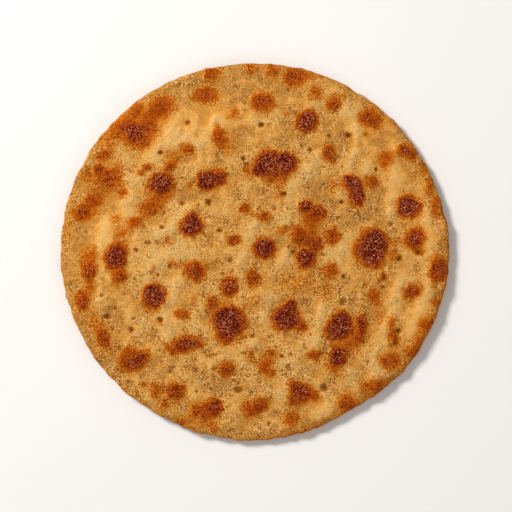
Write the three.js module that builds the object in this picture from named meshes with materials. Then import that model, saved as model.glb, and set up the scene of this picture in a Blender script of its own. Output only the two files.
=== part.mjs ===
// A paratha: one round griddled flatbread, baked in one piece and lying flat on its underside.
// Millimetres, +Z up, +Y towards twelve o'clock. The origin is under the middle, on the surface it lies on.

import * as THREE from "three";

// Driving dimensions.
const RIM_RADII = [92, 92.8, 93.6, 95, 93.6, 90.6, 92, 92.4, 93.8, 95, 94.4, 93.2]; // at each clock hour, from twelve
const MEAN_RADIUS = 93;
const RIM_THICKNESS = 5.6; // the rolled edge is thinner than the middle
const MIDDLE_THICKNESS = 7;
const EDGE_ROUNDING = 6; // how far in from the rim the rounded edge reaches
const LYING_RADIUS = 76; // the underside is flat inside this, and curls up outside it
const RIM_LIFT = 1.1; // how far the rim curls up from the surface, on average
const LIFT_WAVES = [
  { turns: 2, height: 0.45, from: 0.6 },
  { turns: 3, height: 0.35, from: 2.1 },
]; // how the curl rises and falls once round the rim

// Steam puffs the top into low swells: x and y of the middle, radius, height.
const SWELLS = [
  { x: -48, y: 44, radius: 26, height: 1.0 },
  { x: 4, y: 62, radius: 24, height: 0.8 },
  { x: 58, y: 48, radius: 20, height: 0.7 },
  { x: 72, y: -22, radius: 18, height: 0.8 },
  { x: 24, y: -62, radius: 24, height: 0.9 },
  { x: -38, y: -44, radius: 24, height: 0.8 },
  { x: -70, y: -6, radius: 18, height: 0.7 },
  { x: 4, y: 2, radius: 26, height: 0.6 },
];

// How finely the solid is faceted.
const STEPS_ROUND = 96;
const FLAT_RINGS = 6;
const EDGE_STEPS = 10;
const TOP_RINGS = 9;

const HOURS = RIM_RADII.length;
const { lerp, smoothstep, euclideanModulo } = THREE.MathUtils;

// The rim's radius in any direction, eased from one clock hour to the next.
function rimRadius(angle) {
  const hour = euclideanModulo(((Math.PI / 2 - angle) / (2 * Math.PI)) * HOURS, HOURS);
  const before = Math.floor(hour) % HOURS;
  const after = (before + 1) % HOURS;
  return lerp(RIM_RADII[before], RIM_RADII[after], smoothstep(hour - Math.floor(hour), 0, 1));
}

// How far the rim curls up in a direction.
function rimLift(angle) {
  const wave = (sum, { turns, height, from }) => sum + height * Math.sin(turns * angle + from);
  return LIFT_WAVES.reduce(wave, RIM_LIFT);
}

// How far the swells raise the top at a point.
function puff(x, y) {
  const dome = (sum, { x: atX, y: atY, radius, height }) =>
    sum + height * Math.exp(-((x - atX) ** 2 + (y - atY) ** 2) / radius ** 2);
  return SWELLS.reduce(dome, 0);
}

// Half the bread's section: out along the underside, round the edge, and in over the top to the middle.
function sectionOfDough() {
  const flatRadius = MEAN_RADIUS - EDGE_ROUNDING;
  const section = [];
  for (let ring = 0; ring < FLAT_RINGS; ring++) {
    section.push(new THREE.Vector2((flatRadius * ring) / FLAT_RINGS, 0));
  }
  for (let step = 0; step <= EDGE_STEPS; step++) {
    const turn = (step / EDGE_STEPS - 0.5) * Math.PI;
    const out = flatRadius + EDGE_ROUNDING * Math.cos(turn);
    section.push(new THREE.Vector2(out, (RIM_THICKNESS / 2) * (1 + Math.sin(turn))));
  }
  for (let ring = TOP_RINGS - 1; ring >= 0; ring--) {
    const share = ring / TOP_RINGS;
    const height = lerp(MIDDLE_THICKNESS, RIM_THICKNESS, share ** 4);
    section.push(new THREE.Vector2(flatRadius * share, height));
  }
  return section;
}

// The section is turned into a round slab, and each of its points is then moved out to the hand-rolled rim,
// up with the curl of the edge, and up with the swells of the top.
function doughGeometry() {
  const geometry = new THREE.LatheGeometry(sectionOfDough(), STEPS_ROUND).rotateX(Math.PI / 2);
  const places = geometry.getAttribute("position");
  for (let i = 0; i < places.count; i++) {
    const angle = Math.atan2(places.getY(i), places.getX(i));
    const radius = Math.hypot(places.getX(i), places.getY(i));
    const wider = rimRadius(angle) / MEAN_RADIUS;
    const x = places.getX(i) * wider;
    const y = places.getY(i) * wider;
    const curl = rimLift(angle) * smoothstep(radius, LYING_RADIUS, MEAN_RADIUS);
    const topShare = places.getZ(i) / MIDDLE_THICKNESS;
    places.setXYZ(i, x, y, places.getZ(i) + curl + topShare * puff(x, y));
  }
  geometry.computeVertexNormals();
  return geometry;
}

const bakedDough = new THREE.MeshStandardMaterial({ color: 0xd6a660, roughness: 0.75, metalness: 0 });

const bread = new THREE.Mesh(doughGeometry(), bakedDough);
bread.name = "paratha";

const part = new THREE.Group();
part.add(bread);

export default part;
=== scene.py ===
# %% [markdown]
# # A griddled paratha
#
# This lesson makes one flatbread, as it comes off the griddle. The physical model already holds its true
# outline, its thickness and its broad swells, so the lesson is about everything finer: the blisters that
# rise and scorch where steam lifts the dough against the hot iron, the little pits where a bubble has
# burst, the sandy grain of the flour, and the colours that dough goes through from cream to char.

import math
import random

import bpy
import numpy as np
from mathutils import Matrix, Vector, noise


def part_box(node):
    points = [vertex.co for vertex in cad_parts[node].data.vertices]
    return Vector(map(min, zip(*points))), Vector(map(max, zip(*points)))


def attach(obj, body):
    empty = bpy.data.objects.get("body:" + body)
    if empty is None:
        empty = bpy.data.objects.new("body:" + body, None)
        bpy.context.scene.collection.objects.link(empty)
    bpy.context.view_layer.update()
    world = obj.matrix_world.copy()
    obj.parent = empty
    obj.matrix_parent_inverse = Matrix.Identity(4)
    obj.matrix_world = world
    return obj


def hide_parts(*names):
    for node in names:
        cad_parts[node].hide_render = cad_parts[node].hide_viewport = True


MM = 0.001

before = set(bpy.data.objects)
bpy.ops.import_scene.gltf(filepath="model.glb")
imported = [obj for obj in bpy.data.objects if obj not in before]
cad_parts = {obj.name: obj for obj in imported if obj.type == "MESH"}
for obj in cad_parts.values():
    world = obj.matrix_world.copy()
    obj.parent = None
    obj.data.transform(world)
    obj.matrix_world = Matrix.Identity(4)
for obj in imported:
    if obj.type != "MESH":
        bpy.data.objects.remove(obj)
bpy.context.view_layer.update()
bread_low, bread_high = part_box("paratha")
bread_width = bread_high.x - bread_low.x
bread_middle = (bread_low + bread_high) / 2
print("bread", [round(side / MM, 1) for side in bread_high - bread_low], "mm")

# %% [markdown]
# ## Camera
#
# The bread is looked at from straight above, as a cook does, so the camera looks down and needs no turn
# at all. A long lens keeps the round bread round. The distance follows from how much of the picture the
# bread fills.

# %% Camera
LENS = 85
PICTURE_WIDTH = 1.3 * bread_width
PICTURE_RIGHT = 0.003 * bread_width
PICTURE_DOWN = 0.01 * bread_width

bpy.ops.object.camera_add(rotation=(0, 0, 0))
camera = bpy.context.active_object
camera.data.lens = LENS
camera.location = (
    bread_middle.x + PICTURE_RIGHT,
    bread_middle.y - PICTURE_DOWN,
    bread_high.z + PICTURE_WIDTH * LENS / camera.data.sensor_width,
)
bpy.context.scene.camera = camera
print("camera height", round(camera.location.z, 3), "m")

# %% [markdown]
# ## Light and floor
#
# One big soft lamp at the upper left models the blisters, a weak one at the lower right fills their
# shadows, and a dim sky keeps those shadows from going black. The floor is plain and pale. The Standard
# view keeps the warm colours as they are mixed.

# %% Lamps
def add_lamp(name, place, size, power, colour):
    """A square soft lamp that faces the middle of the bread."""
    bpy.ops.object.light_add(type="AREA", location=place)
    lamp = bpy.context.active_object
    lamp.name = name
    lamp.data.size = size
    lamp.data.energy = power
    lamp.data.color = colour
    lamp.rotation_euler = (bread_middle - lamp.location).to_track_quat("-Z", "Y").to_euler()
    return lamp


key = add_lamp("key_lamp", place=(-0.98, 0.82, 1.1), size=0.38, power=27, colour=(1.0, 0.975, 0.94))
fill = add_lamp("fill_lamp", place=(0.7, -0.75, 0.7), size=0.9, power=2.4, colour=(1.0, 0.96, 0.9))
print("key lamp", round(key.data.energy / fill.data.energy, 1), "times the fill lamp")

# %% Sky
SKY_COLOUR = (1.0, 0.965, 0.92, 1)
SKY_STRENGTH = 0.34

sky = bpy.data.worlds.new("sky")
sky.use_nodes = True
sky.node_tree.nodes["Background"].inputs["Color"].default_value = SKY_COLOUR
sky.node_tree.nodes["Background"].inputs["Strength"].default_value = SKY_STRENGTH
bpy.context.scene.world = sky
bpy.context.scene.view_settings.view_transform = "Standard"
print("sky strength", SKY_STRENGTH)

# %% Floor
FLOOR_SIZE = 60
FLOOR_GAP = 0.05 * MM  # keeps the floor out of the plane of the flat underside
FLOOR_COLOUR = (0.93, 0.925, 0.915, 1)
FLOOR_ROUGHNESS = 0.9

bpy.ops.mesh.primitive_plane_add(size=FLOOR_SIZE, location=(0, 0, bread_low.z - FLOOR_GAP))
floor = bpy.context.active_object
floor.name = "floor"
floor_paint = bpy.data.materials.new("floor_paint")
floor_paint.use_nodes = True
floor_shader = floor_paint.node_tree.nodes["Principled BSDF"]
floor_shader.inputs["Base Color"].default_value = FLOOR_COLOUR
floor_shader.inputs["Roughness"].default_value = FLOOR_ROUGHNESS
floor.data.materials.append(floor_paint)
print("floor", FLOOR_SIZE, "m wide")

# %% [markdown]
# ## The slab of dough
#
# The physical solid is right in outline but faceted, and its facets are long and thin. A copy of it is
# merged into one skin and remeshed into even squares, because blisters, pits and colour are all laid on
# points, and they need points that are equally close everywhere. The side that faces up is then
# subdivided once more. That spends the points where the finest relief is, and leaves the side that lies
# down plainer.

# %% Copy and remesh the slab
SKIN_STEP = 1.22 * MM
MERGE_WITHIN = 0.001 * MM
FACES_UP = 0.6  # how steeply a face must look up to be subdivided
SOFTENING = 0.5  # how far a round of smoothing moves a point to its neighbours
COARSE_ROUNDS = 4  # rounds of smoothing after the remesh
FINE_ROUNDS = 2  # and after the top is subdivided


def only(piece):
    """Selects that piece and nothing else."""
    bpy.ops.object.select_all(action="DESELECT")
    piece.select_set(True)
    bpy.context.view_layer.objects.active = piece


def apply_modifier(piece, kind, **settings):
    """Adds a modifier to the piece, sets it and applies it."""
    only(piece)
    modifier = piece.modifiers.new(kind.lower(), kind)
    for setting, value in settings.items():
        setattr(modifier, setting, value)
    bpy.ops.object.modifier_apply(modifier=modifier.name)


print("skin step", round(SKIN_STEP / MM, 2), "mm")

# %% The bread as one even skin
bread = bpy.data.objects.new("griddled_paratha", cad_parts["paratha"].data.copy())
bpy.context.scene.collection.objects.link(bread)
bread.data.materials.clear()
only(bread)
bpy.ops.object.mode_set(mode="EDIT")
bpy.ops.mesh.select_all(action="SELECT")
bpy.ops.mesh.remove_doubles(threshold=MERGE_WITHIN)
bpy.ops.object.mode_set(mode="OBJECT")
apply_modifier(bread, "REMESH", mode="VOXEL", voxel_size=SKIN_STEP)
apply_modifier(bread, "SMOOTH", factor=SOFTENING, iterations=COARSE_ROUNDS)
print("points on the even skin", len(bread.data.vertices))

# %% A finer top
for polygon in bread.data.polygons:
    polygon.select = polygon.normal.z > FACES_UP
bpy.ops.object.mode_set(mode="EDIT")
bpy.ops.mesh.select_mode(type="FACE")
bpy.ops.mesh.subdivide(number_cuts=1)
bpy.ops.object.mode_set(mode="OBJECT")
apply_modifier(bread, "SMOOTH", factor=SOFTENING, iterations=FINE_ROUNDS)
print("points on the skin", len(bread.data.vertices))

# %% [markdown]
# ## Where each point lies
#
# Everything that follows is laid on by place, so the points' places are read once, in millimetres. A
# point's normal says whether it is on the top or on the underside, with an eased change between the two.

# %% Places and sides
TURNS_UP = (-0.1, 0.5)  # how far up a point faces where the top side starts, and is complete
TURNS_DOWN = (0.1, 0.7)  # and how far down for the underside


def smooth_step(value, low, high):
    """0 below low, 1 above high, and an eased ramp between them, for arrays."""
    share = np.clip((value - low) / (high - low), 0, 1)
    return share * share * (3 - 2 * share)


def read_places(piece):
    """The piece's points as an array of x, y and z in millimetres."""
    places = np.empty(len(piece.data.vertices) * 3, np.float32)
    piece.data.vertices.foreach_get("co", places)
    return places.reshape(-1, 3).astype(float) / MM


def read_normals(piece):
    """The direction that each of the piece's points faces."""
    normals = np.empty(len(piece.data.vertices) * 3, np.float32)
    piece.data.vertices.foreach_get("normal", normals)
    return normals.reshape(-1, 3).astype(float)


places = read_places(bread)
facing = read_normals(bread)
top_side = smooth_step(facing[:, 2], *TURNS_UP)
under_side = smooth_step(-facing[:, 2], *TURNS_DOWN)
print("points facing up", int((facing[:, 2] > 0).sum()), "and down", int((facing[:, 2] < 0).sum()))

# %% [markdown]
# ## The rim and the margin
#
# The rim browns first, and the dough near it is thinner. The furthest point of the mesh in each
# direction gives the bread's radius there, and two masks fade inwards from it, a narrow rim and a wide
# margin. Along both, painted shade darkens the dough.

# %% Rim and margin
DIRECTIONS = 180
RIM_REACH = 6.0  # how far in the rim fades, in millimetres
# The margin is a band of painted shade along the edge.
SHADE_MARGIN_REACH = (2.0, 24.0)  # where the margin starts and stops fading

angles = np.arctan2(places[:, 1], places[:, 0])
radii = np.hypot(places[:, 0], places[:, 1])
around = (angles / (2 * math.pi) + 0.5) * DIRECTIONS
bins = np.floor(around).astype(int) % DIRECTIONS
widest = np.zeros(DIRECTIONS)
np.maximum.at(widest, bins, radii)
from_rim = np.interp(
    around - 0.5,
    np.arange(-1, DIRECTIONS + 1),
    np.concatenate([widest[-1:], widest, widest[:1]]),
) - radii
rim = 1 - smooth_step(from_rim, 0, RIM_REACH)
shade_margin = 1 - smooth_step(from_rim, *SHADE_MARGIN_REACH)
print("rim radius", round(widest.min(), 1), "to", round(widest.max(), 1), "mm")

# %% [markdown]
# ## Scorch marks
#
# Each mark is where the dough touched the griddle longest. Its middle is across and up from the middle of
# the bread, and its half width, half height and heat follow. Heat is how far the dough went: 0.3 is a
# golden blush, 0.6 is brown and 1 is charred.

# %% The marks at the upper left
UPPER_LEFT_MARKS = [
    (-21, 86.5, 5, 3.6, 0.54), (-23.8, 76.2, 6.2, 4.6, 0.66), (-44.5, 70.4, 6.4, 4.8, 0.66),
    (-57.5, 69, 3.6, 3.4, 0.5), (-60, 59.5, 9, 7.5, 0.5), (-55.5, 54.5, 6, 4, 0.5), (-65, 61, 5, 4, 0.4),
    (-81, 37, 3, 3, 0.34), (-49, 62, 5, 7, 0.32), (-70, 54, 5, 6, 0.34), (-58.8, 58.6, 4.2, 3.6, 0.78),
    (-73.2, 46.6, 3.4, 3.4, 0.6), (-76.2, 39.8, 2.4, 2.2, 0.72), (-70, 36.5, 5, 3.8, 0.58),
    (-74, 32, 8, 8, 0.38), (-65, 33, 4, 5, 0.28), (-43, 27, 5, 3, 0.28), (-79, 24, 5, 5.2, 0.56),
    (-84, 18.5, 4.6, 4, 0.68), (-90, 10, 3, 8, 0.22), (-64, 28.5, 1.8, 2, 0.6), (-52, 41, 2.2, 2, 0.7),
    (-55, 38.5, 2, 1.8, 0.62), (-45.4, 33.8, 5.7, 5.3, 0.97), (-41.6, 40.4, 2.6, 2.2, 0.55),
    (-32, 49.6, 3.6, 3, 0.56), (-39, 46, 5, 4, 0.34), (-10.5, 66.5, 3.6, 3.6, 0.46),
    (-17.5, 55.5, 3.4, 5.5, 0.64), (-12.5, 52, 5, 6, 0.34), (-24, 34.4, 4.5, 4.7, 0.97),
    (-17.6, 36, 4.4, 4.6, 0.8), (-31.5, 31.6, 2, 2.6, 0.44), (-29.4, 13.4, 4.9, 5.1, 0.97),
    (-10.5, 6, 3.4, 2.4, 0.7), (-5, 21.5, 2.8, 2.6, 0.64), (-52, 20, 5.2, 5, 0.52),
    (-47, 23, 4.4, 3.6, 0.36), (-58, 14.5, 4.2, 3.2, 0.6), (-64, 9.5, 5, 3.4, 0.38),
    (-67.6, -1.8, 5.2, 5.4, 0.95), (-2, 88.5, 3.4, 3.6, 0.52), (-67, 16, 3, 3, 0.36),
    (-42, 5.7, 3.2, 2.6, 0.34), (-52, 61, 3, 5, 0.34), (-58, 52.5, 5, 3, 0.3),
    (-50, 66.5, 3.4, 2.6, 0.38), (-39.5, 42, 3.4, 3, 0.26), (-52, 31, 2.6, 4, 0.28),
    (-1, 18.5, 2.2, 1.8, 0.38), (-65, 42, 4, 3, 0.26),
]
print(len(UPPER_LEFT_MARKS), "marks at the upper left")

# %% The marks at the upper right
UPPER_RIGHT_MARKS = [
    (9, 88, 3.6, 4, 0.52), (18.5, 84.8, 5.6, 4.6, 0.7), (26, 85, 2.6, 2.4, 0.38), (3, 72.8, 5.4, 5, 0.74),
    (29, 77, 4, 3.8, 0.56), (38.5, 71.5, 3.8, 3.6, 0.64), (43, 75, 1.6, 1.8, 0.36),
    (53.6, 65.6, 3.4, 3.2, 0.66), (57.6, 62.4, 3, 2.6, 0.56), (58.5, 63.4, 6, 4.2, 0.34),
    (24.8, 63, 5.3, 5.5, 0.93), (15.5, 67, 1.6, 1.8, 0.42), (14, 60, 5, 5, 0.14), (53.5, 57, 2, 2, 0.26),
    (36, 47.6, 3.4, 4.6, 0.7), (34.5, 51, 2, 1.8, 0.3), (63.5, 45, 4.2, 4.6, 0.6),
    (72, 49, 3.4, 3.2, 0.7), (75.5, 47, 3, 3.2, 0.6), (5.5, 43.6, 5.4, 5.2, 0.93),
    (2, 39.2, 3, 2.6, 0.84), (14.6, 43.8, 5.2, 4.5, 0.98), (12.5, 38, 5.6, 4.2, 0.64),
    (-3.8, 39, 3, 3.4, 0.46), (7, 35, 3.4, 3, 0.4), (12, 31, 4, 3, 0.28), (12, 26.6, 3, 2.6, 0.3),
    (32, 86, 3, 2, 0.36), (76, 37, 3, 2, 0.24), (81.5, 40, 3, 3.6, 0.34), (46.8, 33.4, 4.5, 4.3, 0.92),
    (49.5, 27, 4, 4.6, 0.86), (57, 34, 4, 3.2, 0.64), (37, 32, 3, 5, 0.36), (24.5, 22.6, 3.2, 3, 0.82),
    (28, 17.4, 5.6, 4.6, 0.62), (31.5, 20, 3, 2.6, 0.62), (4.5, 17, 3.4, 3, 0.6),
    (12.5, 10.5, 2.6, 2.2, 0.46), (24.5, 8, 6.4, 5.4, 0.56), (37.6, 7.4, 3.8, 4.4, 0.72),
    (5, 2, 5.2, 5.2, 0.95), (57, 2.3, 7.4, 7.9, 1.0), (74, 22.2, 5.3, 5.6, 0.93), (76.5, 6, 4.8, 5, 0.84),
    (84, 32, 3.6, 4.4, 0.42), (87, 21.5, 3, 5.6, 0.5), (30, 3.2, 4, 3.4, 0.7), (21, 5, 4, 3.5, 0.42),
    (67.5, -1, 2.2, 3.2, 0.36), (68, 5, 2, 2, 0.34), (45.4, 55.6, 2.8, 3.4, 0.2), (20, 10, 3.4, 3, 0.42),
    (79, 0, 1.8, 1.8, 0.5),
]
print(len(UPPER_RIGHT_MARKS), "marks at the upper right")

# %% The marks at the lower left
LOWER_LEFT_MARKS = [
    (-80.2, -8.6, 4, 5.6, 0.74), (-80, -1, 4.6, 4.4, 0.5), (-65, -11.6, 3.6, 3.4, 0.66),
    (-83.4, -24.4, 3.8, 4.6, 0.72), (-48.6, -20.4, 5.6, 5.2, 0.98), (-49, -8, 2, 2.4, 0.26),
    (-39, -5.6, 2.6, 2, 0.42), (-29, -9.4, 5.8, 5, 0.74), (-1, -12.8, 3.8, 4.2, 0.64),
    (-12.5, -16.8, 3.8, 5, 0.82), (-20.5, -24.5, 3.4, 3.8, 0.66), (-13.5, -33, 6.8, 7.6, 1.0),
    (-8, -34, 4, 4.4, 0.66), (-29, -23, 2, 2, 0.36), (-35, -30, 3.4, 2.6, 0.64),
    (-73.4, -41.4, 3.6, 5.4, 0.7), (-78, -34, 4, 5, 0.36), (-32.5, -44, 6.2, 4.4, 0.82),
    (-39.5, -47, 5, 3.4, 0.58), (-61.5, -53.5, 5.8, 5, 0.7), (-55, -51.5, 3.6, 4, 0.7),
    (-61, -47.5, 4, 2.2, 0.4), (-14, -56.8, 4.2, 3.8, 0.68), (-54, -64, 2.6, 2.4, 0.38),
    (-48, -67, 3.6, 3.6, 0.56), (-38.5, -67.6, 4.4, 5, 0.76), (-44, -74, 3.2, 2.8, 0.44),
    (-26, -77, 5.4, 4.2, 0.62), (-19, -75, 4.3, 4, 0.76), (-19.5, -84.6, 3, 3, 0.44),
    (-2.5, -77, 4.3, 4.4, 0.62), (-36, -82, 4, 2.6, 0.4), (-2, -50, 2.6, 4, 0.46),
    (-49, -27.4, 4.6, 2.6, 0.38), (-46, -34, 2.6, 2, 0.34), (-66, -15, 4, 3, 0.34), (-13, -42, 6, 3, 0.5),
    (-68, -6, 4, 4, 0.5), (-80, -17, 3, 4, 0.34), (-26, -82, 8, 3, 0.26), (-71, -46, 4, 4, 0.3),
]
print(len(LOWER_LEFT_MARKS), "marks at the lower left")

# %% The marks at the lower right
LOWER_RIGHT_MARKS = [
    (36.5, -8.5, 4.4, 4.4, 0.62), (36.5, -55, 3, 3, 0.34), (62, -12, 2.8, 3, 0.5), (60, -31, 3, 7, 0.3),
    (53, -15, 1.6, 1.6, 0.42), (75.5, -19, 4, 4.4, 0.72), (57, -21, 3.8, 4, 0.54),
    (15.5, -32, 6.4, 5.2, 0.98), (17.5, -26, 3, 3.6, 0.9), (23, -36, 3, 2.6, 0.72),
    (42, -35.4, 5.6, 6, 0.95), (36, -38, 3, 4, 0.6), (52, -33.6, 2.6, 4, 0.84),
    (40.5, -50.5, 4.2, 5.4, 0.9), (47, -45, 4.4, 5, 0.5), (29, -50, 3.6, 3.4, 0.62),
    (24.8, -3.2, 4.8, 4.6, 0.95), (50.8, -41, 3.4, 3.4, 0.6), (67.5, -42, 3, 4.6, 0.62),
    (66, -34, 2.4, 4, 0.46), (65, -53, 4.6, 4.2, 0.66), (82.5, -35, 4.2, 4, 0.56), (87, -24, 3, 3, 0.4),
    (75, -48, 4, 3.4, 0.46), (55, -65, 4.8, 4.6, 0.56), (44.6, -73, 4.8, 4.8, 0.64),
    (22.4, -67, 5.6, 4.7, 0.82), (18, -63.5, 2.8, 3, 0.55), (17.5, -80.6, 4.4, 4.4, 0.6),
    (3, -74, 3.6, 3.6, 0.7), (8, -48.6, 3.8, 2.4, 0.54), (5, -55.5, 4, 3.8, 0.64),
    (88.6, -7.6, 4.2, 5.8, 0.76), (79, -42, 4, 4, 0.4), (29.5, -70, 3.4, 3, 0.4), (20, -15, 13, 6, 0.28),
    (0, -24, 6, 5, 0.26), (35, -20, 5, 5, 0.24), (57, -4.5, 4, 3.5, 0.6), (51, -2.5, 3, 3, 0.4),
    (42, -60, 5, 3, 0.24), (18.5, -72, 3, 3, 0.52), (8, -59.5, 2.4, 2, 0.4), (61, -63, 3, 4, 0.34),
    (86, -13, 2.6, 4, 0.36),
]
print(len(LOWER_RIGHT_MARKS), "marks at the lower right")

# %% All the marks on the top
TOP_MARKS = UPPER_LEFT_MARKS + UPPER_RIGHT_MARKS + LOWER_LEFT_MARKS + LOWER_RIGHT_MARKS
print(len(TOP_MARKS), "scorch marks in all")

# %% [markdown]
# ## Burst bubbles
#
# Where a small bubble burst, it left a pit, and painted shade darkens its bottom. The pits are too small
# and too sharp to come out of a noise in the right places, so they are placed like the marks. Each is
# across, up, radius and depth, in millimetres.

# %% The pits
PITS = [
    (-45.2, 48, 1.6, 1.0), (-32.5, 62.5, 1.5, 0.8), (-5.5, 45, 1.5, 0.8), (-22.5, 24, 2.2, 0.7),
    (-35, 23.5, 1.3, 0.6), (-17, 10.5, 1.4, 0.7), (-45, 12, 1.5, 0.7), (-44, 19, 1.6, 0.4),
    (-57.5, 1, 1.5, 0.6), (3, 61.6, 1.7, 0.9), (16.5, 78.5, 1.1, 0.5), (45.2, 56.4, 2.2, 0.8),
    (58.6, 40, 1.4, 0.8), (26.6, 49.6, 1.4, 0.6), (14, 28, 1.7, 0.8), (42, 24, 1.3, 0.7),
    (66, 13.6, 1.5, 0.5), (-12, -3.5, 1.8, 0.6), (-45.6, -32.4, 2, 1.0), (-59.6, -37.6, 1.9, 0.8),
    (-71.5, -31, 1.8, 0.8), (-67.6, -27, 1.3, 0.5), (-28.5, -57, 1.8, 0.5), (-41, -57.4, 1.6, 0.5),
    (-8, -66.6, 2.4, 0.6), (-21.2, -66.5, 1.1, 0.6), (43, -12, 1.6, 0.6), (42.5, -24, 2.3, 0.5),
    (33.4, -65.6, 2.4, 0.6), (17, -49.4, 0.9, 0.5), (17, -56.5, 0.9, 0.5), (32.8, -41, 0.9, 0.5),
    (36, 56, 1.5, 0.5), (9.5, 21, 1.2, 0.5), (-80, -14.5, 1.3, 0.5), (62, -17, 1.6, 0.4),
    (70, -3, 1.9, 0.8), (52, -26, 1.2, 0.3), (-24, -48, 1.0, 0.4), (7, -83, 1.4, 0.6), (79, 0, 1.8, 0.8),
    (19, 0, 1.8, 0.7), (53.5, 57, 1.4, 0.3), (69.5, -38, 1.7, 0.7), (68, -44, 1.9, 0.7),
    (54.5, -53, 1.2, 0.5), (-51, 4.5, 1.6, 0.3), (-41, -7, 1.6, 0.5), (-47, -11, 1.3, 0.5),
    (-58.5, -32, 1.2, 0.5), (-74, -21, 1.3, 0.5), (-69, -37, 1.4, 0.4), (-28, -67.5, 1.2, 0.5),
    (-54, -64, 1.5, 0.4), (-1, -40.5, 1.8, 0.5), (15, 12, 1.4, 0.5), (-5, 72, 1.1, 0.4),
    (13, -50, 1.3, 0.5), (8.5, -49, 1.6, 0.6), (62.5, -12.5, 2.1, 0.7), (27, -40, 1.0, 0.4),
    (-31, -32, 1.0, 0.4), (3, -63, 1.0, 0.4), (-63, -20, 1.0, 0.4),
]
print(len(PITS), "pits")

# %% [markdown]
# ## Laying heat on the dough
#
# A round mark would look stamped. The points are first wandered by a slow noise and a quick one, so that
# the marks drawn on them come out ragged. A charred blister has a broad dark top and a narrow brown
# slope, and a golden one fades from its middle, so the hotter a mark is, the wider its plateau. Where
# marks meet, their heat adds up as two glazes do, without passing 1. The middles of the marks wander with
# the skin, so each mark grows ragged but stays where it was placed. The noise is given a seed, because
# without one it starts from the clock and every run would bake a different bread.

# %% Two noises that wander
TOP_LEVEL = bread_high.z / MM
SLOW_WANDER = (10.0, 1.6)  # size of the noise and how far it moves a point, in millimetres
QUICK_WANDER = (3.0, 1.15)
WANDER_APART = (17.0, 31.0, 0)  # how far apart two seeds lie in the noise
DRIFT_APART = (23.0, 11.0, 0)
NOISE_SEED = 5

noise.seed_set(NOISE_SEED)


def wander(points, size, reach, seed):
    """The points, each moved sideways by a noise of that size."""
    shift = seed * Vector(WANDER_APART)
    moved = [noise.noise_vector(Vector((x, y, z)) / size + shift)[:2] for x, y, z in points]
    return points[:, :2] + reach * np.array(moved)


def drift(points, size, seed):
    """A slow noise of that size at each point, from about -1 to 1."""
    shift = seed * Vector(DRIFT_APART)
    return np.array([noise.noise(Vector((x, y, z)) / size + shift) for x, y, z in points])


def middles(marks, level):
    """Where the marks' middles come to lie once the slow wander has moved the skin at that level."""
    return wander(np.array([(mark[0], mark[1], level) for mark in marks]), *SLOW_WANDER, seed=1)


print("noise seed", NOISE_SEED)

# %% How a mark heats the dough
NARROWEST_PLATEAU = 0.15  # a mark's even middle, as a share of its half width
PLATEAU_GROWTH = 0.9  # how much the plateau widens as the heat rises
DEEP_BROWN = 0.55  # the heat at which it starts to widen
CORE_END = 1.45  # where a mark's core ends, in half widths
HALO = 0.24  # the share of a mark's heat that spreads beyond it
HALO_REACH = (0.8, 2.1)  # where that spread starts and stops fading


def lay_marks(spots, marks, level):
    """The heat that the marks leave at each spot."""
    left_cool = np.ones(len(spots))
    for middle, (_, _, half_width, half_height, heat) in zip(middles(marks, level), marks):
        distance = np.hypot((spots[:, 0] - middle[0]) / half_width, (spots[:, 1] - middle[1]) / half_height)
        plateau = NARROWEST_PLATEAU + PLATEAU_GROWTH * max(heat - DEEP_BROWN, 0)
        core = 1 - smooth_step(distance, plateau, CORE_END)
        halo = 1 - smooth_step(distance, *HALO_REACH)
        left_cool *= 1 - heat * ((1 - HALO) * core + HALO * halo)
    return 1 - left_cool


print("a mark's heat reaches", HALO_REACH[1], "half widths from its middle")

# %% How a pit sinks and darkens
# A pit's darkness is painted shade: the deeper the pit, the darker.
PIT_WALLS = (0.1, 1.2)  # where a pit's wall starts and ends, as a share of its radius
PIT_SHADE = (0.2, 1.25)  # and where its darkness does
SHALLOW_DARK = 0.4  # how dark a pit of no depth would be
DARKER_A_MM = 0.7  # and how much darker each millimetre of depth makes it


def lay_pits(spots, pits):
    """How deep the pits are at each spot, in millimetres, and how much painted shade darkens their bottoms,
    from 0 to 1.
    """
    depth = np.zeros(len(spots))
    dark = np.zeros(len(spots))
    for across, up, radius, deep in pits:
        distance = np.hypot(spots[:, 0] - across, spots[:, 1] - up) / radius
        darkness = min(1, SHALLOW_DARK + DARKER_A_MM * deep)
        depth = np.maximum(depth, deep * (1 - smooth_step(distance, *PIT_WALLS)))
        dark = np.maximum(dark, darkness * (1 - smooth_step(distance, *PIT_SHADE)))
    return depth, dark


print("a pit's wall reaches", PIT_WALLS[1], "radii from its middle")

# %% Lay the heat and the pits
slow = wander(places, *SLOW_WANDER, seed=1)
quick = wander(places, *QUICK_WANDER, seed=2)
spots = slow + quick - places[:, :2]
top_heat = lay_marks(spots, TOP_MARKS, TOP_LEVEL) * top_side
pit_depth, pit_painted_shade = lay_pits((quick + places[:, :2]) / 2, PITS)
pit_depth *= top_side
pit_painted_shade *= top_side
print("hottest", round(top_heat.max(), 2), "deepest pit", round(pit_depth.max(), 2), "mm")

# %% [markdown]
# ## The side that lay on the griddle first
#
# The underside is cooked the same way, but nobody placed its marks by hand. They are scattered from a
# seeded random source, each a fair distance from the others, so that the pattern is the same every time.
# A slow noise adds a broad golden blush, where that side lay closest to the iron.

# %% Marks on the underside
UNDER_MARKS_TRIED = 1500
UNDER_REACH = 91  # how far out the marks are scattered, in millimetres
UNDER_SEED = 11
HALF_WIDTHS = (1.3, 6.4)  # the smallest half width, and how much the largest adds to it
STRETCH = (0.6, 1.5)  # half height over half width
UNDER_HEAT = (0.28, 0.72)
HEAT_A_MM = 0.05  # how much hotter each millimetre of half width makes a mark
CLEAR_GAP = 2.5  # bare dough between two marks, in millimetres
UNDER_BLUSH = (34.0, 0.34)  # size of the broad golden patches and their heat
BLUSH_RAMP = (-0.25, 0.45)  # the noise values where the blush starts and is complete

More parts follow.
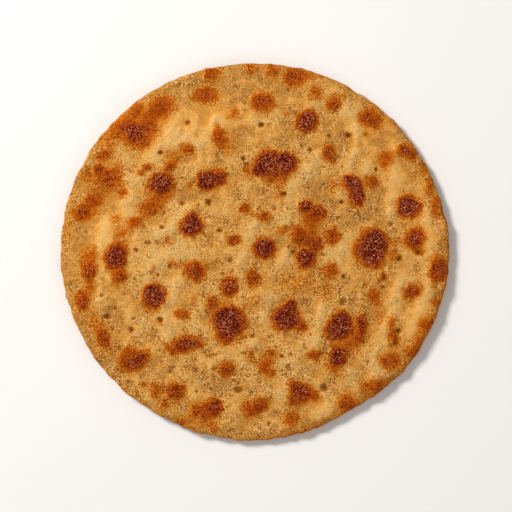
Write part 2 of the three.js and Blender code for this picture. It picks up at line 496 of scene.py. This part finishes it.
dice = random.Random(UNDER_SEED)
under_marks = []
for _ in range(UNDER_MARKS_TRIED):
    turn = dice.uniform(0, 2 * math.pi)
    out = UNDER_REACH * math.sqrt(dice.random())
    across = out * math.cos(turn)
    up = out * math.sin(turn)
    half_width = HALF_WIDTHS[0] + HALF_WIDTHS[1] * dice.random() ** 2
    half_height = half_width * dice.uniform(*STRETCH)
    heat = min(1.0, dice.uniform(*UNDER_HEAT) + HEAT_A_MM * half_width)
    if all(math.hypot(across - m[0], up - m[1]) > half_width + m[2] + CLEAR_GAP for m in under_marks):
        under_marks.append((across, up, half_width, half_height, heat))
blush_size, blush_heat = UNDER_BLUSH
blush = blush_heat * smooth_step(drift(places, blush_size, seed=3), *BLUSH_RAMP)
under_heat = (1 - (1 - lay_marks(spots, under_marks, 0)) * (1 - blush)) * under_side
print(len(under_marks), "marks on the underside")

# %% [markdown]
# ## Folds and hollows
#
# The rolling pin and the folding leave soft ridges, and these stay smooth, because they puffed
# up early and never lay against the iron, and their colour is paled with a painted highlight. Each is a
# line of points with a half width and a height. Between them the dough sinks into shallow hollows, each
# an ellipse with a depth, and painted shade darkens them to khaki.

# %% The folds
FOLDS = [
    ([(-77, -4), (-71, 8), (-62, 19), (-57, 33), (-50, 45), (-40, 57)], 4.5, 0.85),
    ([(-28, 42), (-26, 50), (-20, 58), (-17, 66)], 4, 0.6), ([(-22, 45), (-22, 50)], 4, 0.5),
    ([(-42, 44), (-36, 50), (-32, 56)], 3.5, 0.5), ([(-66, 48), (-69, 57), (-60, 68)], 4.5, 0.5),
    ([(-45, 8), (-38, 12), (-33, 20)], 4, 1.1), ([(0, 13), (-5, 2), (-7, -8)], 3.5, 0.7),
    ([(42, 30), (45, 42), (49, 53), (49, 64), (45, 70)], 3, 0.75), ([(54, 40), (58, 49)], 3, 0.5),
    ([(65, 20), (68, 34), (68, 50), (64, 60)], 3.5, 0.75),
    ([(85, 0), (84, 8), (84, 20), (80, 33)], 4, 0.7), ([(18, 33), (18, 23)], 4, 0.4),
    ([(42, 3), (43, -8)], 4, 0.5), ([(15, 0), (14, -5)], 3, 0.6), ([(16, 14), (19, 12)], 3.5, 0.6),
    ([(39, 78), (36, 72)], 3.5, 0.5), ([(27, 40), (32, 47)], 4, 0.7), ([(-47, -6), (-43, -8)], 3.5, 0.6),
    ([(-53, -12), (-47, -10)], 4, 0.6), ([(-31, -69), (-25, -71)], 4, 0.5),
    ([(-28, -32), (-26, -29)], 3.5, 0.5), ([(-15, 22), (-14, 26)], 4, 0.5),
    ([(-39, 50), (-34, 53)], 3.5, 0.6), ([(70, 12), (74, 14)], 3, 0.4),
    ([(-42, -38), (-40, -27), (-38, -16)], 5, 1.1), ([(-51, -47), (-43, -45)], 4, 0.5),
    ([(-42, -60), (-33, -61)], 3.5, 0.45), ([(-62, -27), (-60, -34), (-53, -40)], 4, 0.55),
    ([(-54, -10), (-46, -3), (-40, -1), (-30, -2)], 5, 0.95), ([(8, 56), (12, 68)], 4, 0.5),
    ([(20, 74), (30, 70)], 3.5, 0.45), ([(31, 54), (35, 60)], 3.5, 0.45),
    ([(-25, -37), (-21, -38)], 4, 0.5), ([(-26, -55), (-13, -50), (0, -45)], 4, 0.55),
    ([(-8, -25), (-1, -22)], 3.5, 0.55), ([(5, -24), (5, -32)], 4, 0.6),
    ([(34, -24), (31, -36), (27, -46)], 4, 0.75),
    ([(70, -12), (68, -24), (63, -39), (58, -50), (57, -61)], 3.6, 0.8),
    ([(81, -25), (77, -36)], 4, 0.75), ([(85, -4), (84, -16), (82, -24)], 4, 0.6),
    ([(47, -58), (50, -71)], 3.5, 0.5), ([(-10, -70), (-10, -77)], 4, 0.6),
    ([(-66, -40), (-62, -44)], 4, 0.6), ([(-74, -24), (-76, -30)], 4, 0.5),
    ([(54, 54), (58, 56)], 3.5, 0.5), ([(-60, 20), (-58, 17)], 3.5, 0.6),
    ([(-17, 58), (-16, 63)], 3, 0.5), ([(37, -73), (27, -81), (12, -83)], 4, 0.5),
    ([(14, -66), (13, -74)], 3.5, 0.4), ([(-57, -61), (-50, -71)], 3.5, 0.4),
]
print(len(FOLDS), "folds")

# %% The hollows
HOLLOWS = [
    (-7, 56, 3.5, 6.5, 0.8), (-25, 71, 8, 7, 1.3), (-67, 16, 4, 4, 0.5), (52, 18, 8, 4, 0.35),
    (61, 30, 4, 5, 0.6), (28.5, -24, 6, 5, 0.8), (36, -17, 4, 5, 0.5), (61.5, -21, 3.2, 6, 0.8),
    (60.5, -31, 4, 9, 1.1), (38, -46, 4, 4, 0.7), (20, -39, 5, 4, 0.7), (69, -40, 3, 6, 0.55),
    (75, -26, 4, 4, 0.5), (-70, -29, 5, 5, 0.4), (46, 48, 3, 6, 0.45), (-28, -62, 7, 2.5, 0.3),
    (-15, 80, 9, 5, 0.8), (-39, 78, 10, 6, 1.2), (-24, 63, 4, 4, 0.9), (-32, 62, 3.5, 3.5, 0.7),
    (-84, 5, 5, 9, 0.5), (-68, 66, 10, 5, 0.5), (-54, 54.5, 5, 5, 0.9), (-76, 45, 6, 7, 1.0),
    (-65, 60, 5, 5, 0.6), (-81, 36, 4, 6, 0.6), (-57, 66, 6, 4, 0.6), (-45, 65, 5, 4, 0.9),
    (-81, 16, 4, 5, 0.6), (-31, 46, 4, 3, 0.5), (45.5, 55.5, 3, 4, 0.7), (29, 30, 7, 5, 0.35),
    (-16, 44, 5, 4, 0.35), (-38, 46, 5, 5, 0.35), (20, -44, 6, 4, 0.35), (10, -61, 5, 4, 0.2),
    (-82, 33, 4, 7, 0.35), (60, 60, 5, 4, 0.3), (79, -6, 4, 4, 0.35),
]
print(len(HOLLOWS), "hollows")

# %% Lay the folds and hollows
FOLD_BREAKS = (0.8, 0.55, 8.0)  # a fold's usual height, how much it rises and falls, and over what length


def lay_folds(spots, folds, level):
    """How high the folds stand at each spot, in millimetres."""
    height = np.zeros(len(spots))
    for path, half_width, high in folds:
        path = middles(path, level)
        for start, end in zip(path, path[1:]):
            run = end - start
            along = np.clip((spots - start) @ run / (run @ run), 0, 1)
            aside = np.linalg.norm(spots - start - along[:, None] * run, axis=1)
            height = np.maximum(height, high * np.exp(-((aside / half_width) ** 2)))
    return height


def lay_hollows(spots, hollows, level):
    """How deep the hollows are at each spot, in millimetres."""
    depth = np.zeros(len(spots))
    for middle, (_, _, half_width, half_height, deep) in zip(middles(hollows, level), hollows):
        distance = np.hypot((spots[:, 0] - middle[0]) / half_width, (spots[:, 1] - middle[1]) / half_height)
        depth = np.maximum(depth, deep * np.exp(-(distance**2)))
    return depth


usual, rise_and_fall, length = FOLD_BREAKS
broken = usual + rise_and_fall * drift(places, length, seed=5)
fold_height = lay_folds(spots, FOLDS, TOP_LEVEL) * broken * top_side
hollow_depth = lay_hollows(spots, HOLLOWS, TOP_LEVEL) * top_side
print("highest fold", round(fold_height.max(), 2), "mm, deepest hollow", round(hollow_depth.max(), 2), "mm")

# %% [markdown]
# ## Relief
#
# Height is laid on in layers, from broad to fine, with Displace modifiers. A vertex group says where each
# layer works. Blisters, ridges and pits come from the marks, and the loose ripples and lumps of
# hand-rolled dough come from cloud textures. The crimps push the edge in and out and can fold it over, so
# the edge alone is smoothed afterwards. Last, the top is levelled back to its own height and nothing is
# left below the surface that the bread lies on.

# %% Helpers for the relief
WEIGHT_STEPS = 400


def add_weights(piece, name, weights):
    """A vertex group on the piece, with one weight a point."""
    group = piece.vertex_groups.new(name=name)
    steps = np.round(np.clip(weights, 0, 1) * WEIGHT_STEPS).astype(int)
    order = np.argsort(steps, kind="stable")
    for points in np.split(order, np.nonzero(np.diff(steps[order]))[0] + 1):
        group.add(points.tolist(), float(steps[points[0]]) / WEIGHT_STEPS, "REPLACE")
    return name


def clouds(name, size, depth):
    """A cloud texture for displacing, with lumps of about that size in metres."""
    texture = bpy.data.textures.new(name, "CLOUDS")
    texture.noise_scale = size
    texture.noise_depth = depth
    return texture


print("weights in", WEIGHT_STEPS, "steps")

# %% The layers of relief
BLISTER_HEIGHT = 0.7 * MM
BLISTER_HEAT = (0.12, 0.9)  # the heat where a blister starts, and is complete
CALMER_RIM = 0.6  # how much of the ripples and lumps the rim loses
EDGE_BAND = (1.5, 4.0)  # where the smoothing starts and stops fading, in millimetres from the edge
EDGE_ROUNDS = 7  # rounds of smoothing there

blister = smooth_step(top_heat, *BLISTER_HEAT)
open_top = top_side * (1 - CALMER_RIM * rim)

# Each layer: name, where it works, texture, strength, the texture value that moves nothing, direction.
layers = [
    ("folds", fold_height, None, 1.35 * MM, 0, "Z"),
    ("hollows", hollow_depth, None, -1.2 * MM, 0, "Z"),
    ("blisters", blister, None, BLISTER_HEIGHT, 0, "Z"),
    ("ripples", open_top, clouds("ripples", 13 * MM, 1), 1.3 * MM, 0.5, "Z"),
    ("lumps", open_top, clouds("lumps", 5 * MM, 1), 1.25 * MM, 0.5, "Z"),
    ("crinkle", open_top, clouds("crinkle", 2.2 * MM, 1), 0.4 * MM, 0.5, "Z"),
    ("crimps", rim * (1 - under_side), clouds("crimps", 5 * MM, 1), 1.7 * MM, 0.5, "NORMAL"),
    ("pits", pit_depth, None, -1.0 * MM, 0, "Z"),
    ("under_ripples", under_side * (1 - rim), clouds("under_ripples", 12 * MM, 2), 0.7 * MM, 0.25, "Z"),
]
for name, weights, texture, strength, mid_level, direction in layers:
    apply_modifier(
        bread,
        "DISPLACE",
        vertex_group=add_weights(bread, name, weights),
        texture=texture,
        texture_coords="LOCAL",
        strength=strength,
        mid_level=mid_level,
        direction=direction,
    )
edge = 1 - smooth_step(from_rim, *EDGE_BAND)
edge_group = add_weights(bread, "edge", edge)
apply_modifier(bread, "SMOOTH", factor=SOFTENING, iterations=EDGE_ROUNDS, vertex_group=edge_group)
bread.vertex_groups.clear()
print(len(layers), "layers of relief")

# %% Level the bread
FULLY_UP = 0.9  # the share of top side past which a point counts as top

only(bread)
bpy.ops.object.mode_set(mode="EDIT")
bpy.ops.mesh.select_all(action="SELECT")
bpy.ops.mesh.normals_make_consistent(inside=False)
bpy.ops.object.mode_set(mode="OBJECT")
bpy.ops.object.shade_smooth()
settled = read_places(bread)
settled[:, 2] -= top_side * np.mean((settled - places)[top_side > FULLY_UP, 2])
settled[:, 2] = np.maximum(settled[:, 2], 0)
bread.data.vertices.foreach_set("co", (settled * MM).astype(np.float32).ravel())
bread.data.update()
relief = (settled[:, 2] - places[:, 2]) * top_side
print("top at", round(settled[:, 2].max(), 2), "mm, relief", np.percentile(relief, [2, 50, 98]).round(2))

# %% [markdown]
# ## Handing the marks to the material
#
# What was worked out above is stored on the mesh as attributes, which a material can read by name. Some
# stretches of skin stay smooth and creamy, because they puffed up clear of the iron and the flour. They
# are laid like marks, as ellipses with a strength. Everywhere else is sandy, the folds a little less.

# %% The smooth skin
SMOOTH_SKIN = [
    (-68, 14, 12, 14, 0.75), (-40, 62, 20, 10, 0.75), (-18, 66, 12, 14, 0.6), (-80, 5, 8, 12, 0.6),
    (50, 56, 12, 12, 0.6), (66, 40, 9, 18, 0.6), (10, 78, 20, 8, 0.5), (80, 12, 8, 16, 0.5),
    (44, -2, 8, 10, 0.5), (64, -28, 7, 18, 0.5), (78, -34, 7, 12, 0.7), (-30, 24, 10, 6, 0.4),
    (0, 60, 9, 9, 0.45), (36, -74, 12, 7, 0.5), (-74, -12, 8, 10, 0.5), (-84, -20, 6, 16, 0.4),
]
print(len(SMOOTH_SKIN), "stretches of smooth skin")

# %% Store the attributes
RIM_WARMTH = 0.12  # the heat that the rim takes everywhere
# The extra at the lower right is partly browning and partly painted shade, on the side turned from the key
# lamp.
LOWER_RIGHT_BROWNING_AND_SHADE = 0.22  # and how much more at the lower right
RIM_UNEVENNESS = (7.0, 0.2)  # size and strength of the noise in it
RIM_LIMIT = 0.5
# Painted light in the dough's paleness: a painted highlight on folds and painted shade in hollows.
RELIEF_SPAN = 1.15  # millimetres from the khaki of a hollow to the cream of a fold
# Painted shade darkens the rim's dough and the margin's.
RIM_PAINTED_SHADE = 0.35  # how much darker the rim's dough is
MARGIN_PAINTED_SHADE = 0.3  # and the margin's
SMOOTH_CREAM = 0.18  # and how much paler the smooth skin is
FOLD_SMOOTHNESS = 0.5  # how much of its sand a fold loses
FULL_FOLD = 0.6  # the height in millimetres from which it loses that much


def store(piece, name, values):
    """Keeps one number a point on the mesh, for the material to read."""
    attribute = piece.data.attributes.new(name, "FLOAT", "POINT")
    attribute.data.foreach_set("value", values.astype(np.float32))


# The rim's heat grows towards the lower right: partly browning, partly painted shade.
lower_right = 0.5 + 0.5 * np.cos(angles + math.pi / 4)
uneven_size, unevenness = RIM_UNEVENNESS
uneven = unevenness * drift(places, uneven_size, seed=4)
rim_heat_and_shade = rim * np.clip(RIM_WARMTH + LOWER_RIGHT_BROWNING_AND_SHADE * lower_right**2 + uneven, 0, RIM_LIMIT)
scorch = 1 - (1 - top_heat) * (1 - under_heat) * (1 - rim_heat_and_shade)
smooth_skin = lay_marks(spots, SMOOTH_SKIN, TOP_LEVEL)
sandy = (1 - smooth_skin) * (1 - FOLD_SMOOTHNESS * np.clip(fold_height / FULL_FOLD, 0, 1))
# The stored paleness carries painted light: raised by the relief on folds, lowered in hollows, at the rim
# and along the margin.
paleness_with_painted_light = relief / RELIEF_SPAN + 0.5 - RIM_PAINTED_SHADE * rim - MARGIN_PAINTED_SHADE * shade_margin + SMOOTH_CREAM * smooth_skin
store(bread, "scorch", scorch)
store(bread, "pit", pit_painted_shade)
store(bread, "relief", np.clip(paleness_with_painted_light, 0, 1))
store(bread, "sandy", np.clip(sandy, 0, 1))
print("sandy skin on average", round(float(sandy.mean()), 2))

# %% [markdown]
# ## A grain for flour and for char
#
# Both the pale dough and the charred blisters have a sandy grain, of different sizes, so it is one node
# group. The grain is made of small cells, each with a brightness of its own, and a noise gathers them
# into clumps. The brightest cells are crumbs, or on char painted glints, and the darkest are hollows, and
# the middle is left alone.
# Short helpers come first, so that each node is one call.

# %% Helpers for single nodes
def link(tree, source, target):
    """Joins two sockets, or sets the target to a plain value."""
    if isinstance(source, bpy.types.NodeSocket):
        tree.links.new(source, target)
    else:
        target.default_value = source


def maths(tree, operation, first, second=0.0, clamp=False):
    """A Math node on two values or sockets."""
    node = tree.nodes.new("ShaderNodeMath")
    node.operation = operation
    node.use_clamp = clamp
    link(tree, first, node.inputs[0])
    link(tree, second, node.inputs[1])
    return node.outputs[0]


def noise_of(tree, place, scale, detail=2.0, roughness=0.5):
    """A noise pattern of that many lumps a metre."""
    node = tree.nodes.new("ShaderNodeTexNoise")
    link(tree, place, node.inputs["Vector"])
    link(tree, scale, node.inputs["Scale"])
    node.inputs["Detail"].default_value = detail
    node.inputs["Roughness"].default_value = roughness
    return node.outputs["Fac"]


def ranged(tree, value, low, high, to_low=0.0, to_high=1.0):
    """A Map Range node: the value's range from low to high becomes another, eased at both ends."""
    node = tree.nodes.new("ShaderNodeMapRange")
    node.interpolation_type = "SMOOTHSTEP"
    link(tree, value, node.inputs["Value"])
    node.inputs["From Min"].default_value = low
    node.inputs["From Max"].default_value = high
    node.inputs["To Min"].default_value = to_low
    node.inputs["To Max"].default_value = to_high
    return node.outputs["Result"]


def swing(tree, place, scale, shift, roughness, detail=3.0, reach=0.2):
    """A noise that swings from minus the shift to plus the shift, within that reach of its middle."""
    lumps = noise_of(tree, place, scale, detail=detail, roughness=roughness)
    return ranged(tree, lumps, 0.5 - reach, 0.5 + reach, -shift, shift)


print("helpers for links, sums, noises and ranges")

# %% Helpers for colours and stored numbers
def mixed(tree, share, first, second, blend="MIX"):
    """A colour Mix node."""
    node = tree.nodes.new("ShaderNodeMix")
    node.data_type = "RGBA"
    node.blend_type = blend
    link(tree, share, node.inputs["Factor"])
    link(tree, first, node.inputs["A"])
    link(tree, second, node.inputs["B"])
    return node.outputs["Result"]


def ramped(tree, value, stops):
    """A colour ramp with those stops, each a position and a colour."""
    node = tree.nodes.new("ShaderNodeValToRGB")
    link(tree, value, node.inputs["Fac"])
    while len(node.color_ramp.elements) < len(stops):
        node.color_ramp.elements.new(1.0)
    for element, (position, colour) in zip(node.color_ramp.elements, stops):
        element.position = position
        element.color = (*colour, 1)
    return node.outputs["Color"]


def attribute(tree, name):
    """Reads a number stored on the mesh."""
    node = tree.nodes.new("ShaderNodeAttribute")
    node.attribute_name = name
    return node.outputs["Fac"]


print("helpers for mixes, ramps and stored numbers")

# %% The grain group
CLUMPS_A_METRE = 1900
CLUMP_STRENGTH = 0.8
CRUMB_RANGE = (0.62, 0.9)  # the brightness where a cell starts to be a crumb, and fully is
HOLLOW_RANGE = (0.38, 0.1)  # and the same for a hollow, downwards


def make_grain_group():
    """A node group that puts out bright crumbs and dark hollows, each from 0 to 1."""
    group = bpy.data.node_groups.new("sandy_grain", "ShaderNodeTree")
    group.interface.new_socket("Place", in_out="INPUT", socket_type="NodeSocketVector")
    group.interface.new_socket("Grains a metre", in_out="INPUT", socket_type="NodeSocketFloat")
    group.interface.new_socket("Crumbs", in_out="OUTPUT", socket_type="NodeSocketFloat")
    group.interface.new_socket("Hollows", in_out="OUTPUT", socket_type="NodeSocketFloat")
    inside = group.nodes.new("NodeGroupInput")
    outside = group.nodes.new("NodeGroupOutput")
    place = inside.outputs["Place"]
    scale = inside.outputs["Grains a metre"]
    cells = group.nodes.new("ShaderNodeTexVoronoi")
    link(group, place, cells.inputs["Vector"])
    link(group, scale, cells.inputs["Scale"])
    split = group.nodes.new("ShaderNodeSeparateColor")
    link(group, cells.outputs["Color"], split.inputs["Color"])
    clump = maths(group, "SUBTRACT", noise_of(group, place, CLUMPS_A_METRE, detail=1.0), 0.5)
    grit = maths(group, "ADD", split.outputs["Red"], maths(group, "MULTIPLY", clump, CLUMP_STRENGTH))
    crumbs = ranged(group, grit, *CRUMB_RANGE)
    hollows = ranged(group, grit, *HOLLOW_RANGE)
    link(group, crumbs, outside.inputs["Crumbs"])
    link(group, hollows, outside.inputs["Hollows"])
    return group


grain_group = make_grain_group()


def grain(tree, place, grains_a_metre):
    """The sandy grain, placed in a material: its bright crumbs and its dark hollows."""
    node = tree.nodes.new("ShaderNodeGroup")
    node.node_tree = grain_group
    link(tree, place, node.inputs["Place"])
    node.inputs["Grains a metre"].default_value = grains_a_metre
    return node.outputs["Crumbs"], node.outputs["Hollows"]


print("grain group with", len(grain_group.nodes), "nodes")

# %% [markdown]
# ## The colour of pale dough
#
# Untouched dough is gold, darkened to khaki in the hollows, at the rim and along the margin with
# painted shade, and paled to cream on the folds with a painted highlight. A colour ramp holds that line of
# colours, and the stored relief says where on it each point is. A slow noise and a quick one shift it, so
# that two hollows are never quite alike.

# %% Pale dough
# From painted shade in hollows at the low end to a painted highlight on folds at the high end.
PALE_DOUGH_WITH_PAINTED_LIGHT = [
    (0.0, (0.55, 0.232, 0.040)),
    (0.3, (0.73, 0.32, 0.055)),
    (0.6, (0.82, 0.402, 0.088)),
    (1.0, (0.79, 0.45, 0.14)),
]


def pale_dough_with_painted_light(tree, place, relief):
    """The colour of dough that never met the iron, with painted shade in hollows and a painted highlight on
    folds.
    """
    slow_tone = swing(tree, place, scale=40, shift=0.2, roughness=0.6)
    quick_tone = swing(tree, place, scale=260, shift=0.07, roughness=0.65)
    paleness_with_painted_light = maths(tree, "ADD", relief, maths(tree, "ADD", slow_tone, quick_tone), clamp=True)
    return ramped(tree, paleness_with_painted_light, PALE_DOUGH_WITH_PAINTED_LIGHT)


print("pale dough in", len(PALE_DOUGH_WITH_PAINTED_LIGHT), "tones")

# %% [markdown]
# ## Browning
#
# Dough that met the iron browns along one line of colours: gold, orange, red-brown and char. The stored
# scorch says how far it went and how much of the pale dough it covers. Noise and grain fray it, but only
# where there is some scorch, because clean dough has no edge to fray.

# %% Browning
BROWNING = [
    (0.00, (0.68, 0.30, 0.050)),
    (0.26, (0.64, 0.225, 0.022)),
    (0.43, (0.555, 0.128, 0.005)),
    (0.58, (0.445, 0.070, 0.001)),
    (0.73, (0.33, 0.034, 0.001)),
    (0.88, (0.21, 0.012, 0.001)),
    (1.00, (0.12, 0.004, 0.001)),
]
GRAIN_FRAY = 0.12  # how far the grain shifts the scorch
FRAYS_FROM = (0.03, 0.3)  # the scorch where fraying starts, and is complete
COVERS_FROM = (0.03, 0.32)  # and the same for covering the pale dough


def browned_dough(tree, scorch, fray, crumbs, hollows, dough):
    """The dough's colour with the browning laid over it."""
    specks = maths(tree, "MULTIPLY", maths(tree, "SUBTRACT", hollows, crumbs), GRAIN_FRAY)
    edge = maths(tree, "MULTIPLY", maths(tree, "ADD", fray, specks), ranged(tree, scorch, *FRAYS_FROM))
    cooked = maths(tree, "ADD", scorch, edge, clamp=True)
    return mixed(tree, ranged(tree, cooked, *COVERS_FROM), dough, ramped(tree, cooked, BROWNING))


print("browning in", len(BROWNING), "tones")

# %% [markdown]
# ## Crumbs, glints and cracks
#
# Pale crumbs and dark hollows cover the sandy dough in patches, and thin out as it scorches. Char has a
# finer grain of its own: dark cracks, and between them bright glints, which are painted highlights where
# light catches the crust. Both kinds of bright speck take their colour from one ramp, from floury cream
# on pale dough to a pink painted glint on scorched crust.

# %% Crumbs, glints and cracks
# Colours of the pale crumbs, and of the painted highlights that glint on the char.
SPECKS_AND_PAINTED_GLINTS = [
    (0.00, (0.97, 0.64, 0.25)),
    (0.35, (0.95, 0.48, 0.11)),
    (0.62, (0.95, 0.34, 0.04)),
    (0.90, (1.00, 0.31, 0.14)),
]
DARK_HOLLOW = (0.30, 0.17, 0.06, 1)
CHAR_CRACK = (0.55, 0.3, 0.12, 1)
PATCHES_A_METRE = 200
PATCH_RANGE = (0.36, 0.62, 0.4, 1.0)  # the noise values of the thinnest and thickest grain, and how thick
SMOOTHEST = 0.25  # the share of grain that smooth skin still shows
BROWNED = (0.38, 0.85)  # the scorch where the char's grain starts, and is complete
CHAR_EXTRA = 0.15  # how much thicker the char's grain is in every patch
CRUMBS_BURN = (0.15, 0.75, 0.95, 0.0)  # the scorch over which pale crumbs burn away, and the shares seen


def patches_of(tree, place):
    """Where the grain is thick and where thin, so that it never looks printed."""
    return ranged(tree, noise_of(tree, place, PATCHES_A_METRE), *PATCH_RANGE)


def grained_dough(tree, scorch, sandy, patches, dough_grain, char_grain, colour):
    """The colour with the grain of the dough, and the char's cracks and painted glints, laid over it."""
    crumbs, hollows = dough_grain
    glints, cracks = char_grain
    grain_seen = maths(tree, "ADD", maths(tree, "MULTIPLY", sandy, 1 - SMOOTHEST), SMOOTHEST)
    grain_seen = maths(tree, "MULTIPLY", grain_seen, patches)
    browned = ranged(tree, scorch, *BROWNED)
    char_seen = maths(tree, "MULTIPLY", browned, maths(tree, "ADD", patches, CHAR_EXTRA, clamp=True))
    crumbs_seen = maths(tree, "MULTIPLY", crumbs, grain_seen)
    crumbs_seen = maths(tree, "MULTIPLY", crumbs_seen, ranged(tree, scorch, *CRUMBS_BURN))
    # The glints on char are painted highlights, bright specks where light catches the crust.
    crumbs_and_glints_seen = maths(tree, "MAXIMUM", crumbs_seen, maths(tree, "MULTIPLY", glints, char_seen))
    hollows_seen = maths(tree, "MULTIPLY", hollows, grain_seen)
    colour = mixed(tree, hollows_seen, colour, DARK_HOLLOW, "MULTIPLY")
    colour = mixed(tree, maths(tree, "MULTIPLY", cracks, browned), colour, CHAR_CRACK, "MULTIPLY")
    return mixed(tree, crumbs_and_glints_seen, colour, ramped(tree, scorch, SPECKS_AND_PAINTED_GLINTS))


print("specks in", len(SPECKS_AND_PAINTED_GLINTS), "tones")

# %% [markdown]
# ## Pits and pinholes
#
# A pit has a brown wall and a nearly black bottom, painted shade that deepens with the pit, and its
# outline is ragged. Between the pits the sandy dough has pinholes, too many and too small to place, so a
# noise makes them. They have no depth in the mesh, only the pits' painted shade, and they fade out on
# scorched dough.

# %% Pits and pinholes
# Painted shade in the pits: a brown wall and a nearly black bottom.
PIT_WALL_SHADE = (0.33, 0.10, 0.006, 1)
PIT_BOTTOM_SHADE = (0.125, 0.028, 0.001, 1)
PINHOLES_A_METRE = 330
HOLE_NOISE = (0.46, 0.34)  # the noise value where a hole starts, and where it is deepest
HOLE_CUT = (0.75, 1.0, 0.0, 0.55)  # the depths that are kept, and how dark they look
HOLES_BURN = (0.2, 0.5, 1.0, 0.0)  # the scorch over which they fade out
WALL_SHOWN = (0.08, 0.5, 0.0, 0.8)  # the pit's darkness over which its wall comes in, and how strongly
BOTTOM_SHOWN = (0.45, 0.95, 0.0, 0.9)
RAGGED_BY_FRAY = 3.0
RAGGED_BY_CRUMBS = -0.35


def pinholes(tree, place, scorch, sandy, patches):
    """Small holes in the sandy dough, drawn only as painted shade."""
    hole_noise = noise_of(tree, place, PINHOLES_A_METRE, detail=1.0, roughness=0.6)
    holes = ranged(tree, hole_noise, *HOLE_NOISE)
    holes = ranged(tree, maths(tree, "MULTIPLY", holes, patches), *HOLE_CUT)
    holes = maths(tree, "MULTIPLY", holes, sandy)
    return maths(tree, "MULTIPLY", holes, ranged(tree, scorch, *HOLES_BURN))


def pitted_dough(tree, pit, fray, crumbs, holes, colour):
    """The colour with the painted shade of the pits and pinholes laid over it."""
    by_fray = maths(tree, "MULTIPLY", fray, RAGGED_BY_FRAY)
    by_crumbs = maths(tree, "MULTIPLY", crumbs, RAGGED_BY_CRUMBS)
    ragged = maths(tree, "ADD", by_fray, by_crumbs)
    pit_shown = maths(tree, "ADD", pit, maths(tree, "MULTIPLY", ragged, pit))
    pit_shown = maths(tree, "MAXIMUM", pit_shown, holes)
    colour = mixed(tree, ranged(tree, pit_shown, *WALL_SHOWN), colour, PIT_WALL_SHADE)
    return mixed(tree, ranged(tree, pit_shown, *BOTTOM_SHOWN), colour, PIT_BOTTOM_SHADE)


print("pinholes at", PINHOLES_A_METRE, "a metre")

# %% [markdown]
# ## Sheen and bump
#
# Baked dough is dull, and char is a little glossier where its sugars melted. The mesh holds the blisters
# and folds, but a single crumb is finer than its points, so a Bump node raises the crumbs and glints and
# sinks the hollows.

# %% Sheen and bump
WARM_SHEEN = (1.0, 0.55, 0.22, 1)
SHEEN_LEVEL = 0.06
DOUGH_ROUGHNESS = 0.78
CHAR_ROUGHNESS = 0.55
GLOSS_FROM = (0.3, 0.95)  # the scorch where gloss starts, and is complete
HOLLOW_DULLNESS = 0.1
CHARRED = (0.55, 0.9)  # the scorch where glints start to stand out, and fully do
FINE_LUMPS_A_METRE = 1300
BUMP_STRENGTH = 0.95
BUMP_HEIGHT = 0.22 * MM


def roughness_of(tree, scorch, hollows):
    """Dull dough, glossier char, and duller hollows."""
    roughness = ranged(tree, scorch, *GLOSS_FROM, DOUGH_ROUGHNESS, CHAR_ROUGHNESS)
    return maths(tree, "ADD", roughness, maths(tree, "MULTIPLY", hollows, HOLLOW_DULLNESS))


def bump_of(tree, place, scorch, sandy, crumbs, hollows, glints):
    """The grain's normal."""
    charred = ranged(tree, scorch, *CHARRED)
    height = maths(tree, "MULTIPLY", maths(tree, "SUBTRACT", crumbs, hollows), sandy)
    height = maths(tree, "ADD", height, maths(tree, "MULTIPLY", glints, charred))
    fine = noise_of(tree, place, FINE_LUMPS_A_METRE, detail=1.0, roughness=0.6)
    bump = tree.nodes.new("ShaderNodeBump")
    bump.inputs["Strength"].default_value = BUMP_STRENGTH
    bump.inputs["Distance"].default_value = BUMP_HEIGHT
    link(tree, maths(tree, "ADD", height, fine), bump.inputs["Height"])
    return bump.outputs["Normal"]


print("bump of", round(BUMP_HEIGHT / MM, 2), "mm")

# %% [markdown]
# ## The baked dough
#
# One material covers the whole bread, because it is one piece of dough baked to different degrees. It
# puts the steps above together: dough, browning, grain, pits, then sheen and bump.

# %% The baked dough material
GRAINS_A_METRE = 2500
GLINTS_A_METRE = 3000
# The glints are painted highlights on the char.
GLINT_RANGE = (0.4, 1.0)  # only the brightest grains of char glint


def make_baked_dough():
    """The finish of the whole bread."""
    material = bpy.data.materials.new("baked_dough")
    material.use_nodes = True
    tree = material.node_tree
    shader = tree.nodes["Principled BSDF"]
    place = tree.nodes.new("ShaderNodeTexCoord").outputs["Object"]
    scorch = attribute(tree, "scorch")
    sandy = attribute(tree, "sandy")
    crumbs, hollows = grain(tree, place, GRAINS_A_METRE)
    glints, cracks = grain(tree, place, GLINTS_A_METRE)
    glints = ranged(tree, glints, *GLINT_RANGE)
    fray = swing(tree, place, scale=430, shift=0.11, roughness=0.7, detail=4.0, reach=0.25)
    patches = patches_of(tree, place)

    colour = pale_dough_with_painted_light(tree, place, attribute(tree, "relief"))
    colour = browned_dough(tree, scorch, fray, crumbs, hollows, colour)
    colour = grained_dough(tree, scorch, sandy, patches, (crumbs, hollows), (glints, cracks), colour)
    holes = pinholes(tree, place, scorch, sandy, patches)
    colour = pitted_dough(tree, attribute(tree, "pit"), fray, crumbs, holes, colour)
    link(tree, colour, shader.inputs["Base Color"])

    link(tree, roughness_of(tree, scorch, hollows), shader.inputs["Roughness"])
    link(tree, bump_of(tree, place, scorch, sandy, crumbs, hollows, glints), shader.inputs["Normal"])
    shader.inputs["Specular IOR Level"].default_value = SHEEN_LEVEL
    shader.inputs["Specular Tint"].default_value = WARM_SHEEN
    return material


baked_dough = make_baked_dough()
bread.data.materials.append(baked_dough)
print("baked dough with", len(baked_dough.node_tree.nodes), "nodes")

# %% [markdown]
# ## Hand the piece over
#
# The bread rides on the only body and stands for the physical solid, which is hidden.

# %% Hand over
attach(bread, "root")
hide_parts("paratha")

print("faces", len(bread.data.polygons))
